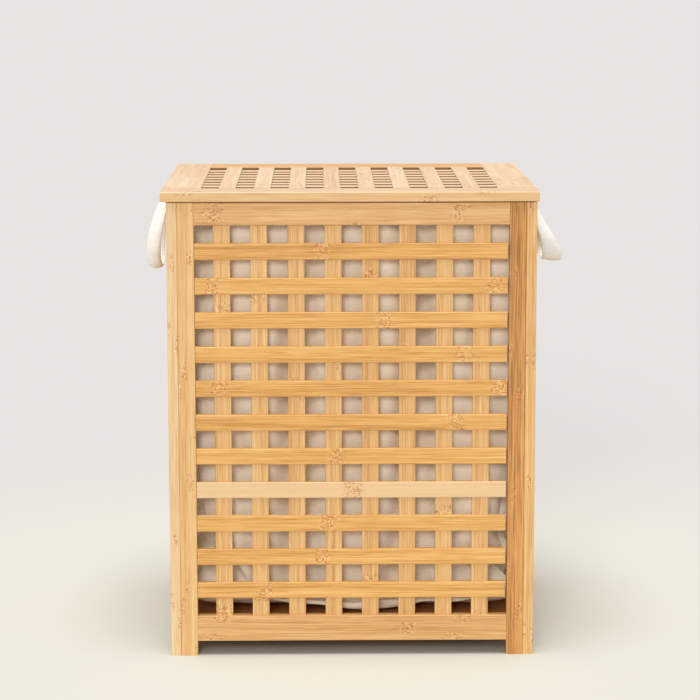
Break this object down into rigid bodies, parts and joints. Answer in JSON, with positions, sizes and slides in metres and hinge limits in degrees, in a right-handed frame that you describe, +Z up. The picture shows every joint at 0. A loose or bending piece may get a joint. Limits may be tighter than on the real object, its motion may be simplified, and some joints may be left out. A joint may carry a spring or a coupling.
{
  "type": "laundry hamper",
  "caption": "Free-standing bamboo lattice laundry hamper with a lift-up lattice lid on rear hinges and a cloth liner with tape handles.",
  "frame": {"origin": "on the floor at the middle of the hamper's overall box", "axes": "+Z up, the front faces -Y, +X is to the right seen from the front"},
  "size_m": [0.472, 0.3502, 0.504],
  "materials": {
    "bamboo": "satin clear lacquer on laminated bamboo",
    "bamboo_deep": "satin clear lacquer on a deeper honey strip of bamboo",
    "base_plywood": "sanded bamboo plywood",
    "beech_dowel": "fluted beech",
    "liner_cotton": "plain woven off-white cotton",
    "tape_cotton": "folded and stitched cotton tape",
    "zinc_steel": "zinc plated screws",
    "plated_steel": "nickel plated pressed hinges"
  },
  "bodies": {
    "hamper": {"back_bottom_rail": "bamboo", "back_level_slats": "bamboo", "back_stile_left": "bamboo", "back_stile_right": "bamboo", "back_top_rail": "bamboo", "back_upright_slats": "bamboo", "base_board": "base_plywood", "base_cleat_back": "bamboo", "base_cleat_front": "bamboo", "base_cleat_left": "bamboo", "base_cleat_right": "bamboo", "cleat_screws": "zinc_steel", "corner_screws": "zinc_steel", "front_bottom_rail": "bamboo", "front_level_slats": "bamboo", "front_stile_left": "bamboo", "front_stile_right": "bamboo", "front_top_rail": "bamboo", "front_upright_slats": "bamboo", "handle_tape_left": "tape_cotton", "handle_tape_right": "tape_cotton", "hinge_body_leaf_left": "plated_steel", "hinge_body_leaf_right": "plated_steel", "hinge_body_screws": "zinc_steel", "hinge_pin_left": "plated_steel", "hinge_pin_right": "plated_steel", "left_bottom_rail": "bamboo", "left_level_slats": "bamboo", "left_stile_back": "bamboo", "left_stile_front": "bamboo", "left_top_rail": "bamboo", "left_upright_slats": "bamboo", "liner_bag": "liner_cotton", "panel_dowels": "beech_dowel", "right_bottom_rail": "bamboo", "right_level_slats": "bamboo", "right_stile_back": "bamboo", "right_stile_front": "bamboo", "right_top_rail": "bamboo", "right_upright_slats": "bamboo"},
    "lid": {"lid_bar_1": "bamboo", "lid_bar_2": "bamboo", "lid_bar_3": "bamboo", "lid_bar_4": "bamboo", "lid_bar_5": "bamboo", "lid_bar_6": "bamboo", "lid_bar_7": "bamboo", "lid_bar_8": "bamboo", "lid_cross_slats": "bamboo", "lid_dowels": "beech_dowel", "lid_rail_back": "bamboo_deep", "lid_rail_front": "bamboo", "lid_side_left": "bamboo", "lid_side_right": "bamboo", "hinge_lid_leaf_left": "plated_steel", "hinge_lid_leaf_right": "plated_steel", "hinge_lid_screws": "zinc_steel"},
    "left_handle": {"handle_loop_left": "tape_cotton"},
    "right_handle": {"handle_loop_right": "tape_cotton"}
  },
  "joints": [
    {"name": "lid_hinge", "type": "hinge", "parent": "hamper", "child": "lid", "pos_m": [0, 0.1732, 0.493], "axis": [-1, 0, 0], "range_deg": [0, 105]},
    {"name": "left_handle_swing", "type": "hinge", "parent": "hamper", "child": "left_handle", "pos_m": [-0.1972, 0, 0.49295], "axis": [0, 1, 0], "range_deg": [-12, 45]},
    {"name": "right_handle_swing", "type": "hinge", "parent": "hamper", "child": "right_handle", "pos_m": [0.1972, 0, 0.49295], "axis": [0, -1, 0], "range_deg": [-12, 45]}
  ]
}
